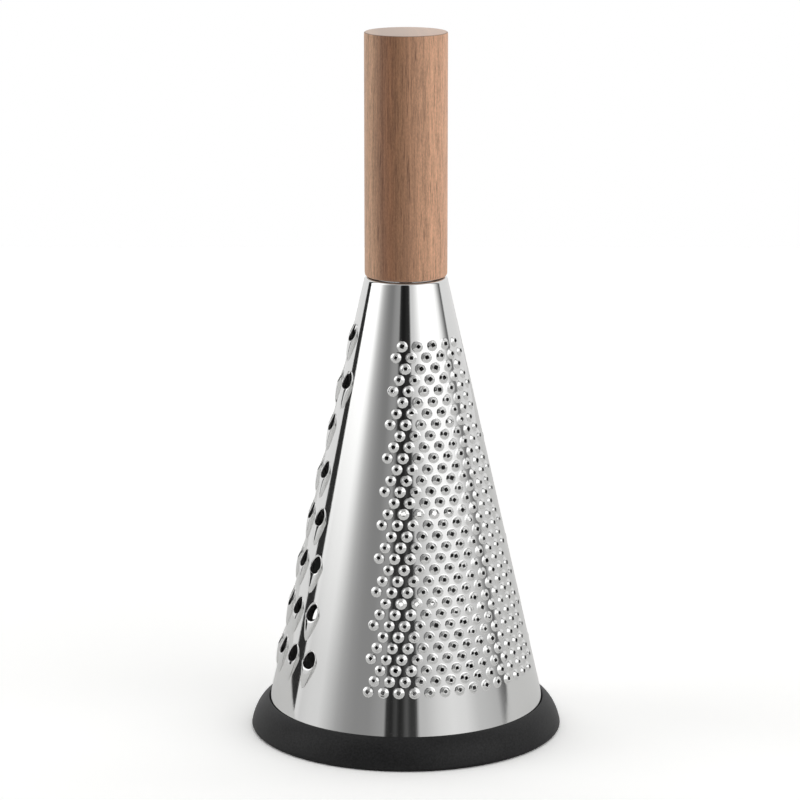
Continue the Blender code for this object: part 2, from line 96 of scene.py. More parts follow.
def add_node(tree, kind, inputs=None, **settings):
    """Add a node with its settings, and give its inputs values or link them to other outputs."""
    node = tree.nodes.new(kind)
    for name, value in settings.items():
        setattr(node, name, value)
    for name, value in (inputs or {}).items():
        if isinstance(value, bpy.types.NodeSocket):
            tree.links.new(value, node.inputs[name])
        else:
            node.inputs[name].default_value = value
    return node


def add_ramp(tree, factor, stops):
    """A colour ramp from (place, colour) stops. A colour is a hex value or a grey level."""
    ramp = add_node(tree, "ShaderNodeValToRGB", {"Fac": factor})
    elements = ramp.color_ramp.elements
    while len(elements) < len(stops):
        elements.new(0.5)
    for element, (place, colour) in zip(elements, stops):
        element.position = place
        element.color = linear(colour) if isinstance(colour, str) else [colour] * 3 + [1.0]
    return ramp.outputs["Color"]


world = bpy.data.worlds.new("Studio tent")
world.use_nodes = True
tree = world.node_tree
tree.nodes.clear()
direction = add_node(tree, "ShaderNodeTexCoord").outputs["Generated"]
axes = add_node(tree, "ShaderNodeSeparateXYZ", {0: direction}).outputs
front = add_node(tree, "ShaderNodeMath", {0: axes["Y"], 1: -1.0}, operation="MULTIPLY").outputs[0]
azimuth = add_node(tree, "ShaderNodeMath", {0: axes["X"], 1: front}, operation="ARCTAN2").outputs[0]
turn = add_node(tree, "ShaderNodeMapRange", {"Value": azimuth, "From Min": -math.pi,
                                             "From Max": math.pi}).outputs[0]
rise = add_node(tree, "ShaderNodeMath", {0: axes["Z"]}, operation="ARCSINE").outputs[0]
upper, lower = (add_ramp(tree, turn, [(angle / 360 + 0.5, level) for angle, level in walls])
                for walls in (UPPER_WALLS, LOWER_WALLS))
# The shade line hangs in an arc: it is highest at the front and falls away towards the back
arc = add_node(tree, "ShaderNodeMath", {0: front, 1: 0.5, 2: 0.5}, operation="MULTIPLY_ADD").outputs[0]
arc = add_node(tree, "ShaderNodeMath", {0: arc}, operation="SQRT").outputs[0]
above = add_node(tree, "ShaderNodeMath", {0: arc, 1: -SHADE_LINE_RISE, 2: axes["Z"]},
                 operation="MULTIPLY_ADD").outputs[0]
foot = add_node(tree, "ShaderNodeMapRange", {"Value": above, "From Min": SHADE_LINE[0],
                                             "From Max": SHADE_LINE[1]}).outputs[0]
walls = add_node(tree, "ShaderNodeMix", {"Factor": foot, 6: lower, 7: upper},
                 data_type="RGBA").outputs[2]
gap = add_node(tree, "ShaderNodeMath", {
    0: azimuth, 1: math.radians(PANEL_GAP_AZIMUTH), 2: math.radians(PANEL_GAP_HALF_WIDTH)},
    operation="COMPARE").outputs[0]
walls = add_node(tree, "ShaderNodeMix", {"Factor": gap, 6: walls, 7: [PANEL_GAP_LEVEL] * 3 + [1.0]},
                 data_type="RGBA").outputs[2]
roof = add_node(tree, "ShaderNodeMapRange", {
    "Value": rise, "From Min": math.radians(ROOF_EDGE[0]), "From Max": math.radians(ROOF_EDGE[1])},
    interpolation_type="SMOOTHSTEP").outputs[0]
roof_light = add_node(tree, "ShaderNodeMapRange", {
    "Value": front, "From Min": ROOF_SHADE[0], "From Max": ROOF_SHADE[1], "To Min": ROOF_LEVELS[0],
    "To Max": ROOF_LEVELS[1]}).outputs[0]
tent = add_node(tree, "ShaderNodeMix", {"Factor": roof, 6: walls, 7: roof_light}, data_type="RGBA")
# Camera rays see plain white, and all others see the tent
to_camera = add_node(tree, "ShaderNodeLightPath").outputs["Is Camera Ray"]
studio = add_node(tree, "ShaderNodeBackground", {"Color": tent.outputs[2]})
plain = add_node(tree, "ShaderNodeBackground", {"Color": [1.0] * 4, "Strength": 1.0})
shown = add_node(tree, "ShaderNodeMixShader", {0: to_camera, 1: studio.outputs[0],
                                               2: plain.outputs[0]})
add_node(tree, "ShaderNodeOutputWorld", {"Surface": shown.outputs[0]})
bpy.context.scene.world = world
bpy.context.scene.view_settings.view_transform = "Standard"

# The camera is the one that was fitted to the outline in the photo
camera = bpy.data.cameras.new("Camera")
camera.sensor_width = SENSOR_MM
camera.lens = FOCAL_PIXELS / PHOTO_PIXELS * SENSOR_MM
camera.shift_x = (PHOTO_PIXELS / 2 - AXIS_PIXEL) / PHOTO_PIXELS
viewpoint = bpy.data.objects.new("Camera", camera)
viewpoint.location = (0.0, -CAMERA_DISTANCE, CAMERA_HEIGHT)
viewpoint.rotation_euler = (math.radians(90.0 - CAMERA_PITCH), 0.0, 0.0)
bpy.context.scene.collection.objects.link(viewpoint)
bpy.context.scene.camera = viewpoint


# Floor: the pale table, a board painted matt white that the grater stands on. It keeps the shadow, and
# it is seen brighter than it lights the object, so that it runs into the white background.
FLOOR_REACH = 1.0
FLOOR_LEFT_REACH = 0.27
FLOOR_COLOUR = "#EAEAE9"
FLOOR_SEEN_LEVEL = 1.60


def new_material(name):
    """An empty material and its shader."""
    material = bpy.data.materials.new(name)
    material.use_nodes = True
    return material, material.node_tree, material.node_tree.nodes["Principled BSDF"]


def new_piece(name, points, faces, materials, corner_normals=None, face_materials=None):
    """A mesh object from whole arrays: points (n, 3), and a list of face arrays of 3 or 4 corners.

    A piece of several materials has a number for each face, its material's place in the list.
    """
    mesh = bpy.data.meshes.new(name)
    corners = np.concatenate([block.ravel() for block in faces])
    sizes = np.concatenate([np.full(len(block), block.shape[1]) for block in faces])
    mesh.vertices.add(len(points))
    mesh.vertices.foreach_set("co", np.asarray(points, np.float32).ravel())
    mesh.loops.add(len(corners))
    mesh.loops.foreach_set("vertex_index", corners.astype(np.int32))
    mesh.polygons.add(len(sizes))
    mesh.polygons.foreach_set("loop_start", (np.cumsum(sizes) - sizes).astype(np.int32))
    mesh.update(calc_edges=True)
    for material in materials:
        mesh.materials.append(material)
    if face_materials is not None:
        mesh.polygons.foreach_set("material_index", face_materials.astype(np.int32))
    if corner_normals is not None:
        mesh.normals_split_custom_set(corner_normals)
    piece = bpy.data.objects.new(name, mesh)
    bpy.context.scene.collection.objects.link(piece)
    return piece


# Matt paint on board: an even white without gloss
floor_paint, tree, shader = new_material("Matt white board")
to_camera = add_node(tree, "ShaderNodeLightPath").outputs["Is Camera Ray"]
bright = [level * FLOOR_SEEN_LEVEL for level in linear(FLOOR_COLOUR)]
colour = add_node(tree, "ShaderNodeMix", {"Factor": to_camera, 6: linear(FLOOR_COLOUR), 7: bright},
                  data_type="RGBA").outputs[2]
board = add_node(tree, "ShaderNodeBsdfDiffuse", {"Color": colour})
tree.links.new(board.outputs[0], tree.nodes["Material Output"].inputs["Surface"])
floor = new_piece("floor", [(-FLOOR_LEFT_REACH, -FLOOR_REACH, 0.0), (FLOOR_REACH, -FLOOR_REACH, 0.0),
                            (FLOOR_REACH, FLOOR_REACH, 0.0), (-FLOOR_LEFT_REACH, FLOOR_REACH, 0.0)],
                  [np.array([[0, 1, 2, 3]])], [floor_paint])


# Base ring: one moulding of soft black rubber, pushed over the cone's lower edge. Its outside swells
# from a thin lip on the steel to a wide foot, and a thin inner wall holds the sheet from inside.
RING_FOOT_EDGE = 0.0012
RING_LIP = 0.0003
RING_SWELL = 0.6
RING_INNER_WALL = 0.0018
RING_INNER_HEIGHT = 0.0080
RING_FLOOR = 0.0022
RING_TURNS = 240
SWELL_POINTS = 24
ARC_POINTS = 7
NECK_RADIUS = 0.0150
FOOT_RADIUS = 0.0524
SHEET = 0.0006
GAP = 0.0003
RUBBER_COLOUR = "#0B0B0C"
RUBBER_DUST = "#242425"
RUBBER_ROUGHNESS = (0.44, 0.56)
MM_IN_METRE = 1000.0
CLOUD_MM = 11.1
GRAIN_MM = 0.385
SPECK_MM = 0.667

ring_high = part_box("base_ring")[1]
cone_low, cone_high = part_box("grater_cone")
slope = (FOOT_RADIUS - NECK_RADIUS) / (cone_high.z - cone_low.z)
lean = math.atan(slope)


def cone_radius_at(height):
    """Outer radius of the cone at a height: a straight line from the neck to the foot."""
    return NECK_RADIUS + (cone_high.z - height) * slope


def rounded(profile, steps=6):
    """Outline of (radius, height, rounding) corners, each rounded corner as an arc.

    An arc runs between its tangent points, rounding / tan(half the corner) from the corner, as a
    quadratic curve pulled to the corner, which is round enough at these sizes.
    """
    corner = np.array([point[:2] for point in profile])
    size = np.array([point[2] for point in profile])
    before = np.roll(corner, 1, axis=0) - corner
    after = np.roll(corner, -1, axis=0) - corner
    before /= np.maximum(np.linalg.norm(before, axis=1, keepdims=True), 1e-9)
    after /= np.maximum(np.linalg.norm(after, axis=1, keepdims=True), 1e-9)
    half = np.arccos(np.clip((before * after).sum(axis=1), -1, 1)) / 2
    # The floor under half keeps a folded corner, which is never a rounded one, from dividing by 0
    cut = (size / np.tan(np.maximum(half, 0.05)))[:, None]
    share = np.linspace(0.0, 1.0, steps)[:, None, None]
    curve = ((1 - share) ** 2 * (corner + before * cut) + 2 * share * (1 - share) * corner
             + share ** 2 * (corner + after * cut))
    return np.concatenate([curve[:, i] if size[i] > 0 else corner[i:i + 1] for i in range(len(size))])


def turned_piece(name, profile, turns, material, sharp=40.0, swell=0.0):
    """A profile of (radius, height) points carried round Z.

    x = radius sin(azimuth), y = -radius cos(azimuth), z = height. The profile runs down its outside.
    If it starts and ends on the axis, its ends are single points there. If not, it closes on itself.
    Swell is what each point's radius gains, one row for each point of the profile off the axis.
    """
    profile = np.asarray(profile, float)
    solid = profile[0, 0] < 1e-9
    azimuth = np.linspace(0.0, math.tau, turns, endpoint=False)
    ring = profile[1:-1] if solid else profile
    radius, height = ring[:, :1] + swell, ring[:, 1:]
    points = np.stack([radius * np.sin(azimuth), -radius * np.cos(azimuth),
                       np.broadcast_to(height, (len(ring), turns))], axis=-1).reshape(-1, 3)
    index = np.arange(len(points)).reshape(len(ring), turns)
    upper = index[:-1] if solid else index
    lower = index[1:] if solid else np.roll(index, -1, axis=0)
    quads = np.stack([upper, lower, np.roll(lower, -1, axis=1), np.roll(upper, -1, axis=1)], axis=-1)
    faces = [quads.reshape(-1, 4)]
    if solid:
        ends = np.array([[0.0, 0.0, profile[0, 1]], [0.0, 0.0, profile[-1, 1]]])
        top = np.full(turns, len(points))
        points = np.concatenate([points, ends])
        faces.append(np.stack([top, index[0], np.roll(index[0], -1)], axis=-1))
        faces.append(np.stack([top + 1, np.roll(index[-1], -1), index[-1]], axis=-1))
    piece = new_piece(name, points, faces, [material])
    piece.data.shade_smooth()
    piece.data.set_sharp_from_angle(angle=math.radians(sharp))
    return piece


# Thermoplastic rubber, moulded: near black and matt, with a fine cast grain, pale specks and faint
# dusty clouds. The grain and the specks are coarser than real ones, so that they show.
rubber, tree, shader = new_material("Moulded black rubber")
place = add_node(tree, "ShaderNodeTexCoord").outputs["Object"]
clouds = add_node(tree, "ShaderNodeTexNoise", {"Vector": place, "Scale": MM_IN_METRE / CLOUD_MM,
                                               "Detail": 5.0, "Roughness": 0.6}).outputs["Fac"]
grain = add_node(tree, "ShaderNodeTexNoise", {"Vector": place, "Scale": MM_IN_METRE / GRAIN_MM,
                                              "Detail": 3.0}).outputs["Fac"]
specks = add_node(tree, "ShaderNodeTexNoise", {"Vector": place, "Scale": MM_IN_METRE / SPECK_MM,
                                               "Detail": 2.0}).outputs["Fac"]
dust = add_node(tree, "ShaderNodeMath", {0: clouds, 1: 0.5, 2: specks},
                operation="MULTIPLY_ADD").outputs[0]
colour = add_ramp(tree, dust, [(0.50, RUBBER_COLOUR), (1.0, RUBBER_DUST)])
matt = add_node(tree, "ShaderNodeMapRange", {"Value": clouds, "To Min": RUBBER_ROUGHNESS[0],
                                             "To Max": RUBBER_ROUGHNESS[1]})
skin = add_node(tree, "ShaderNodeBump", {"Height": grain, "Strength": 0.35, "Distance": 0.00006})
tree.links.new(colour, shader.inputs["Base Color"])
tree.links.new(matt.outputs[0], shader.inputs["Roughness"])
tree.links.new(skin.outputs[0], shader.inputs["Normal"])
shader.inputs["IOR"].default_value = 1.36

# The outside is a blend of a quarter ellipse and a straight line, from its lip to its foot's edge
lip_radius = cone_radius_at(ring_high.z) + GAP / math.cos(lean)
straight = np.linspace(1.0, 0.0, SWELL_POINTS, endpoint=False)
reach = RING_SWELL * np.cos(math.pi / 2 * straight) + (1 - RING_SWELL) * (1 - straight)
climb = RING_SWELL * np.sin(math.pi / 2 * straight) + (1 - RING_SWELL) * straight
swell = np.stack([lip_radius + RING_LIP + (ring_high.x - lip_radius - RING_LIP) * reach,
                  RING_FOOT_EDGE + (ring_high.z - RING_FOOT_EDGE) * climb], axis=1)
bend = np.linspace(0.0, math.pi / 2, ARC_POINTS)
foot_edge = np.stack([ring_high.x - RING_FOOT_EDGE + RING_FOOT_EDGE * np.cos(bend),
                      RING_FOOT_EDGE - RING_FOOT_EDGE * np.sin(bend)], axis=1)
groove_in = (SHEET + GAP) / math.cos(lean)
groove_top = cone_radius_at(RING_INNER_HEIGHT) - groove_in
groove_side = rounded([
    (groove_top - RING_INNER_WALL, 0.0, RING_FOOT_EDGE / 2),
    (groove_top - RING_INNER_WALL, RING_INNER_HEIGHT, RING_FOOT_EDGE / 3),
    (groove_top, RING_INNER_HEIGHT, 0.0),
    (cone_radius_at(RING_FLOOR) - groove_in, RING_FLOOR, 0.0),
    (cone_radius_at(RING_FLOOR) + GAP / math.cos(lean), RING_FLOOR, 0.0),
    (lip_radius, ring_high.z, 0.0),
])
base_ring = turned_piece("rubber_base_ring", np.concatenate([swell, foot_edge, groove_side]),
                         RING_TURNS, rubber)
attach(base_ring, "base_ring")
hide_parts("base_ring")


# Grater cone: one sheet of stainless steel, punched flat, then rolled and welded. Its top edge turns
# in as a flange for the handle's screw, and its lower edge sits in the ring's groove. Fine craters,
# coarse scoops and long slicing slots are pressed outwards in three zones round it.
ZONE_TOP = 0.0225
ZONE_BOTTOM = 0.0240
SHOULDER = 0.0012
SHOULDER_POINTS = 8
FLANGE_WIDTH = 0.0032
SEAM_AZIMUTH = 211.0
SHEET_COLUMNS = 160
SHEET_ROW_PITCH = 0.004
TOOTH_MARGIN = 0.0007

# A zone's edges are angles from its middle at its top and at its last row. A crater's section is its
# (radius, lift) from its foot on the sheet to its hole's rim, and back inside.
FINE_AZIMUTH = 30.0
FINE_ROW_PITCH = 0.0040
FINE_PITCH = 0.0056
FINE_SHIFT = 0.00266
FINE_PHASE = 0.0008
FINE_EDGES = (40.0, 47.0)
FINE_SIDES = 12
FINE_SECTION = [(0.00220, 0.0), (0.00190, 0.00009), (0.00160, 0.00025), (0.00130, 0.00048),
                (0.00102, 0.00068), (0.00074, 0.00076), (0.00085, 0.0)]
FINE_STAR = 0.14
FINE_SEED = 7
FINE_UNEVEN = 0.08
FINE_TIP_OFFSET = 0.00008

# A hood's foot and mouth are egg outlines: width, centre, reach above and below, taper above and below,
# and power. A slot's widths are what its outlines add to half its length.
SCOOP_AZIMUTH = -91.3
SCOOP_ROW_PITCH = 0.0170
SCOOP_PITCH = 0.0110
SCOOP_EDGES = (27.0, 42.5)
SCOOP_SIDES = 32
SCOOP_FOOT = (0.0034, 0.0013, 0.0046, 0.0102, 0.06, 0.50, 0.85)
SCOOP_MOUTH = (0.0033, 0.0013, 0.0044, 0.0025, 0.04, 0.0, 1.0)
SCOOP_HEIGHT = 0.0013

SLOT_AZIMUTH = 151.3
SLOT_ROW_PITCH = 0.0400
SLOT_EDGES = (34.0, 44.0)
SLOT_SIDES = 72
SLOT_FOOT = (0.0015, 0.0, 0.0042, 0.0090, 0.0, 0.0, 0.3)
SLOT_MOUTH = (0.0004, 0.0, 0.0036, 0.0004, 0.0, 0.0, 0.3)
SLOT_HEIGHT = 0.0020
HOOD_ROUNDING = 0.85
HOOD_EDGE = 0.11
HOOD_STEPS = (0.12, 0.3, 0.5, 0.7, 0.88, 1.0)
HOLLOW_STEPS = (1.0, 0.7, 0.35)
HOLLOW_WIDTH = 0.9
HOLLOW_LENGTH = 0.92
RIM_START = 0.3 * SHEET
RIM_THICKNESS = 0.35 * SHEET
LIP_CURVE = 1.5
OUTLINE_SAMPLES = 4000

slope_length = (cone_high.z - cone_low.z) / math.cos(lean)
last_row = slope_length - ZONE_BOTTOM


def slope_radius(down):
    """Outer radius at a distance down the slope: neck + down sin(lean)."""
    return NECK_RADIUS + down * math.sin(lean)


def rolled(azimuth, down, lift):
    """Points on the rolled cone.

    radius = neck + down sin(lean) + lift cos(lean), height = top - down cos(lean) + lift sin(lean).
    """
    radius = slope_radius(down) + lift * math.cos(lean)
    height = cone_high.z - down * math.cos(lean) + lift * math.sin(lean)
    return np.stack(np.broadcast_arrays(radius * np.sin(azimuth), -radius * np.cos(azimuth), height),
                    axis=-1)


def zone_rows(pitch):
    """Distances down the slope of a zone's rows, one pitch apart from its top to its last row."""
    return np.arange(ZONE_TOP, last_row + pitch / 1000, pitch)


def zone_half(down, edges):
    """Half the zone's width along the sheet: straight edges between the angles at its two ends."""
    top = math.radians(edges[0]) * slope_radius(ZONE_TOP)
    bottom = math.radians(edges[1]) * slope_radius(last_row)
    return top + (bottom - top) * (down - ZONE_TOP) / (last_row - ZONE_TOP)


def row_of_teeth(down, pitch, offset, edges, centre):
    """Azimuth, distance down and turn of a row's teeth: offset + pitch n along the sheet, as n fits.

    A tooth is punched into the flat sheet in line with its zone's middle, so it is turned on the cone
    by its azimuth from there times sin(lean).
    """
    half = zone_half(down, edges)
    count = np.arange(math.ceil((-half - offset) / pitch), math.floor((half - offset) / pitch) + 1)
    aside = (offset + pitch * count) / slope_radius(down)
    return np.stack([math.radians(centre) + aside, np.full(len(aside), down), aside * math.sin(lean)],
                    axis=1)


def egg(t, width, centre, above, below, taper_above, taper_below, power):
    """Closed outline from its top clockwise: x = width sin(t), y = centre + reach cos(t).

    The reach and the taper, which narrows x by a share of |cos(t)|, are another one above than below.
    A power under 1 squares the outline's corners.
    """
    across = np.sign(np.sin(t)) * np.abs(np.sin(t)) ** power
    upward = np.sign(np.cos(t)) * np.abs(np.cos(t)) ** power
    taper = np.where(upward > 0, taper_above, taper_below)
    x = width * across * (1 - taper * np.abs(upward))
    y = centre + np.where(upward > 0, above, below) * upward
    return x, y


def even_turn(sides, *shape):
    """The turns at which an egg outline's corners lie evenly spaced, from its measured length."""
    dense = np.linspace(0.0, math.tau, OUTLINE_SAMPLES)
    x, y = egg(dense, *shape)
    length = np.concatenate([[0.0], np.cumsum(np.hypot(np.diff(x), np.diff(y)))])
    return np.interp(np.linspace(0.0, length[-1], sides, endpoint=False), length, dense)


def on_sheet(teeth, x, y, lift):
    """Azimuth, distance down and lift of points x across and y up from each tooth's place.

    The tooth is turned: along the row by x cos(turn) + y sin(turn), down by x sin(turn) - y cos(turn).
    """
    azimuth, down, turn = (teeth[:, i].reshape(-1, *[1] * (np.ndim(x) - 1)) for i in range(3))
    across = x * np.cos(turn) + y * np.sin(turn)
    return azimuth + across / slope_radius(down), down - y * np.cos(turn) + x * np.sin(turn), lift


def outline_on_sheet(teeth, x, y):
    """The outline (x, y) round each tooth's place, as (azimuth, distance down) points."""
    return np.stack(on_sheet(teeth, x[None], y[None], 0.0)[:2], axis=-1)


def scoop_rings(teeth, t, foot, mouth, lip):
    """A pressed hood's rings from its foot on the sheet to its mouth's rim, and back under it.

    From foot to rim, the outline moves in by 1 - cos(q) and rises by a blend of 1 - cos(q) and sin(q)
    of the rim's height. The rim rises in a curve from the mouth's top end to its lip. The hollow under
    the hood runs in straight steps from the rim's inner edge to a foot a little inside the hood's own.
    """
    foot_x, foot_y = egg(t, *foot)
    rim_x, rim_y = egg(t, *mouth)
    along = (mouth[1] + mouth[2] - rim_y) / (mouth[2] + mouth[3])
    rim_lift = RIM_START + (lip - RIM_START) * along ** LIP_CURVE
    outside = np.array(HOOD_STEPS)[:, None] * math.pi / 2
    share = 1 - np.cos(outside)
    x = foot_x + (rim_x - foot_x) * share
    y = foot_y + (rim_y - foot_y) * share
    lift = rim_lift * (share + HOOD_ROUNDING * (np.sin(outside) - share))
    edge_x = rim_x * (1 - HOOD_EDGE)
    edge_y = rim_y + (mouth[1] - rim_y) * HOOD_EDGE
    inner = np.array(HOLLOW_STEPS)[:, None]
    inner_x = foot_x * HOLLOW_WIDTH + (edge_x - foot_x * HOLLOW_WIDTH) * inner
    inner_y = foot_y * HOLLOW_LENGTH + (edge_y - foot_y * HOLLOW_LENGTH) * inner
    inner_lift = -SHEET + (rim_lift - RIM_THICKNESS + SHEET) * inner
    x = np.concatenate([x, inner_x])[None]
    y = np.concatenate([y, inner_y])[None]
    lift = np.concatenate([lift, inner_lift])[None]
    return rolled(*on_sheet(teeth, x, y, lift))


fine_rows = zone_rows(FINE_ROW_PITCH)[::-1]
fine = np.concatenate([
    row_of_teeth(down, FINE_PITCH, (FINE_PHASE + FINE_SHIFT * i) % FINE_PITCH, FINE_EDGES, FINE_AZIMUTH)
    for i, down in enumerate(fine_rows)])
scoops = np.concatenate([
    row_of_teeth(down, SCOOP_PITCH, SCOOP_PITCH / 2 * ((i + 1) % 2), SCOOP_EDGES, SCOOP_AZIMUTH)
    for i, down in enumerate(zone_rows(SCOOP_ROW_PITCH))])
# Each row of hoods: its teeth, its outline's turns, its foot, its mouth and its height
hoods = [(scoops, even_turn(SCOOP_SIDES, *SCOOP_FOOT), SCOOP_FOOT, SCOOP_MOUTH, SCOOP_HEIGHT)]
for down in zone_rows(SLOT_ROW_PITCH):
    half = zone_half(down, SLOT_EDGES)
    foot, mouth = ((half + width, *shape) for width, *shape in (SLOT_FOOT, SLOT_MOUTH))
    slot = np.array([[math.radians(SLOT_AZIMUTH), down, 0.0]])
    hoods.append((slot, even_turn(SLOT_SIDES, *foot), foot, mouth, SLOT_HEIGHT))

# The flat blank: a grid that leaves out what lies too near a tooth, then each tooth's outline
seam = math.radians(SEAM_AZIMUTH - 360.0)
shoulder_cut = SHOULDER * math.tan((math.pi / 2 - lean) / 2)
rim_drop = SHEET * math.sin(lean)
row_count = round(slope_length / SHEET_ROW_PITCH) + 1
columns = np.linspace(seam, seam + math.tau, SHEET_COLUMNS + 1)
rows = np.linspace(shoulder_cut, slope_length - rim_drop / math.cos(lean), row_count)
grid = np.stack(np.meshgrid(columns, rows), axis=-1)


def clear_of(teeth, shape, power=2):
    """Which grid points lie outside an ellipse, or for a high power a box, round each tooth."""
    width, centre, above, below = shape[:4]
    across = (grid[:, :, None, 0] - teeth[:, 0]) * slope_radius(teeth[:, 1])
    up = teeth[:, 1] - grid[:, :, None, 1]
    x = across * np.cos(teeth[:, 2]) - up * np.sin(teeth[:, 2])
    y = across * np.sin(teeth[:, 2]) + up * np.cos(teeth[:, 2]) - (centre + (above - below) / 2)
    x_share = np.abs(x) / (width + TOOTH_MARGIN)
    y_share = np.abs(y) / ((above + below) / 2 + TOOTH_MARGIN)
    return (x_share ** power + y_share ** power > 1).all(axis=2)


fine_radius = FINE_SECTION[0][0]
kept = clear_of(fine, (fine_radius, 0.0, fine_radius, fine_radius)) & clear_of(scoops, SCOOP_FOOT)
for slot, _, foot, _, _ in hoods[1:]:
    kept &= clear_of(slot, foot, power=8)
# The blank's own edges stay whole, and its rim runs round them
kept[[0, -1]] = True
kept[:, [0, -1]] = True
number = np.full(kept.shape, -1)
number[kept] = np.arange(kept.sum())
rim = np.concatenate([number[0], number[1:, -1], number[-1, -2::-1], number[-2:0:-1, 0]])

fine_turn = np.linspace(0.0, math.tau, FINE_SIDES, endpoint=False)
outlines = [outline_on_sheet(fine, fine_radius * np.sin(fine_turn), fine_radius * np.cos(fine_turn))]
outlines += [outline_on_sheet(teeth, *egg(t, *foot)) for teeth, t, foot, _, _ in hoods]

blank = np.concatenate([grid[kept]] + [outline.reshape(-1, 2) for outline in outlines])
starts = np.cumsum([kept.sum()] + [outline.shape[0] * outline.shape[1] for outline in outlines])
edge_ids = [start + np.arange(outline.shape[0] * outline.shape[1]).reshape(outline.shape[:2])
            for start, outline in zip(starts, outlines)]
slant = NECK_RADIUS / math.sin(lean) + blank[:, 1]
flat_angle = blank[:, 0] * math.sin(lean)
flat = np.stack([slant * np.sin(flat_angle), -slant * np.cos(flat_angle)], axis=1) * MM_IN_METRE
# Sheet is what lies inside the rim and in no tooth's outline
loops = [rim[::-1].tolist()] + [row for ids in edge_ids for row in ids[:, ::-1].tolist()]
_, _, triangles, came_from, _, owners = delaunay_2d_cdt([Vector(p) for p in flat], [], loops, 0, 1e-5)
came_from = np.array([ids[0] for ids in came_from])
sheet = came_from[np.array([face for face, owner in zip(triangles, owners) if list(owner) == [0]])]

# The sheet's two sides. Its two long edges meet at the seam, where the last column is the first.
outer = rolled(blank[:, 0], blank[:, 1], 0.0)
inner = rolled(blank[:, 0], blank[:, 1], -SHEET)
outward = rolled(blank[:, 0], 0.0 * blank[:, 1], 1.0) - rolled(blank[:, 0], 0.0 * blank[:, 1], 0.0)
joined = np.arange(len(blank))
joined[number[:, -1]] = number[:, 0]
sheet = joined[sheet]
inner_start = len(blank)
points = [outer, inner]
faces = [sheet, sheet[:, ::-1] + inner_start]
inside = [np.zeros(len(sheet)), np.ones(len(sheet))]
normals = [outward[sheet].reshape(-1, 3), -outward[sheet[:, ::-1]].reshape(-1, 3)]


def press(ids, rings, soft, outside):
    """Close outlines of the sheet with rings of points that lead from its outside to its inside.

    ids: (teeth, sides) points of each outline. rings: (teeth, rings, sides, 3). Each quad's corners
    take the surface normal across x along. Where soft, the first and last take the sheet's own. The
    first bands of faces, as many as outside says, are polished, and the others are the sheet's inside.
    """
    teeth, count, sides = rings.shape[:3]
    start = sum(len(block) for block in points)
    new = start + np.arange(teeth * count * sides).reshape(teeth, count, sides)
    index = np.concatenate([ids[:, None], new, ids[:, None] + inner_start], axis=1)
    place = np.concatenate([outer[ids][:, None], rings, inner[ids][:, None]], axis=1)
    along = np.roll(place, -1, axis=2) - np.roll(place, 1, axis=2)
    normal = np.cross(np.gradient(place, axis=1), along)
    normal /= np.maximum(np.linalg.norm(normal, axis=-1, keepdims=True), 1e-12)
    if soft:
        normal[:, 0] = outward[ids]
        normal[:, -1] = -outward[ids]
    near, far = index[:, :-1], index[:, 1:]
    quads = np.stack([near, far, np.roll(far, -1, axis=2), np.roll(near, -1, axis=2)], axis=-1)
    near, far = normal[:, :-1], normal[:, 1:]
    directions = np.stack([near, far, np.roll(far, -1, axis=2), np.roll(near, -1, axis=2)], axis=-2)
    points.append(rings.reshape(-1, 3))
    faces.append(quads.reshape(-1, 4))
    normals.append(directions.reshape(-1, 3))
    inside.append(np.repeat(np.tile(np.arange(count + 1) >= outside, teeth), sides))


# Fine craters: a punch with a four-sided point tears each one open, so its hole is a small star. Its
# tip stands a little off the middle, more so the higher a ring of points is.
uneven = np.random.default_rng(FINE_SEED).standard_normal((len(fine), 5, 1))
section = np.array(FINE_SECTION[1:])
star = 1 + FINE_STAR * np.cos(4 * (fine_turn[None] + uneven[:, 0]))
size = np.ones((len(fine), len(section), FINE_SIDES)) * section[:, 0][None, :, None]
size[:, -2:] *= (star * (1 + FINE_UNEVEN * uneven[:, 1]))[:, None]
lift = section[:, 1][None, :, None] * (1 + FINE_UNEVEN * uneven[:, 2:3]) * np.ones_like(size)
tip = FINE_TIP_OFFSET * lift / section[:, 1].max()
press(edge_ids[0], rolled(*on_sheet(fine, size * np.sin(fine_turn) + tip * uneven[:, 3:4],
                                    size * np.cos(fine_turn) + tip * uneven[:, 4:5], lift)),
      soft=True, outside=len(section) - 1)

# Scoops and slots: each is cut at its mouth and pressed up into a hood
for ids, hood in zip(edge_ids[1:], hoods):
    press(ids, scoop_rings(*hood), soft=True, outside=len(HOOD_STEPS) + 1)

# Neck: a round shoulder and a flat flange, turned in. Foot: the cut edge of the sheet.
bend = np.linspace(lean, math.pi / 2, SHOULDER_POINTS)[1:]
shoulder_out, shoulder_in = (
    np.stack([NECK_RADIUS - shoulder_cut + size * np.cos(bend),
              cone_high.z - SHOULDER + size * np.sin(bend)], axis=1)
    for size in (SHOULDER, SHOULDER - SHEET))
flange = NECK_RADIUS - FLANGE_WIDTH
neck = np.concatenate([shoulder_out, [(flange, cone_high.z), (flange, cone_high.z - SHEET)],
                       shoulder_in[::-1]])
neck_edge = number[0, -2::-1][None]
azimuth = blank[neck_edge[0], 0]
neck_rings = np.stack([neck[:, :1] * np.sin(azimuth), -neck[:, :1] * np.cos(azimuth),
                       neck[:, 1:] * np.ones_like(azimuth)], axis=-1)[None]
press(neck_edge, neck_rings, soft=True, outside=len(shoulder_out) + 2)
press(number[-1, :-1][None], np.empty((1, 0, SHEET_COLUMNS, 3)), soft=False, outside=1)

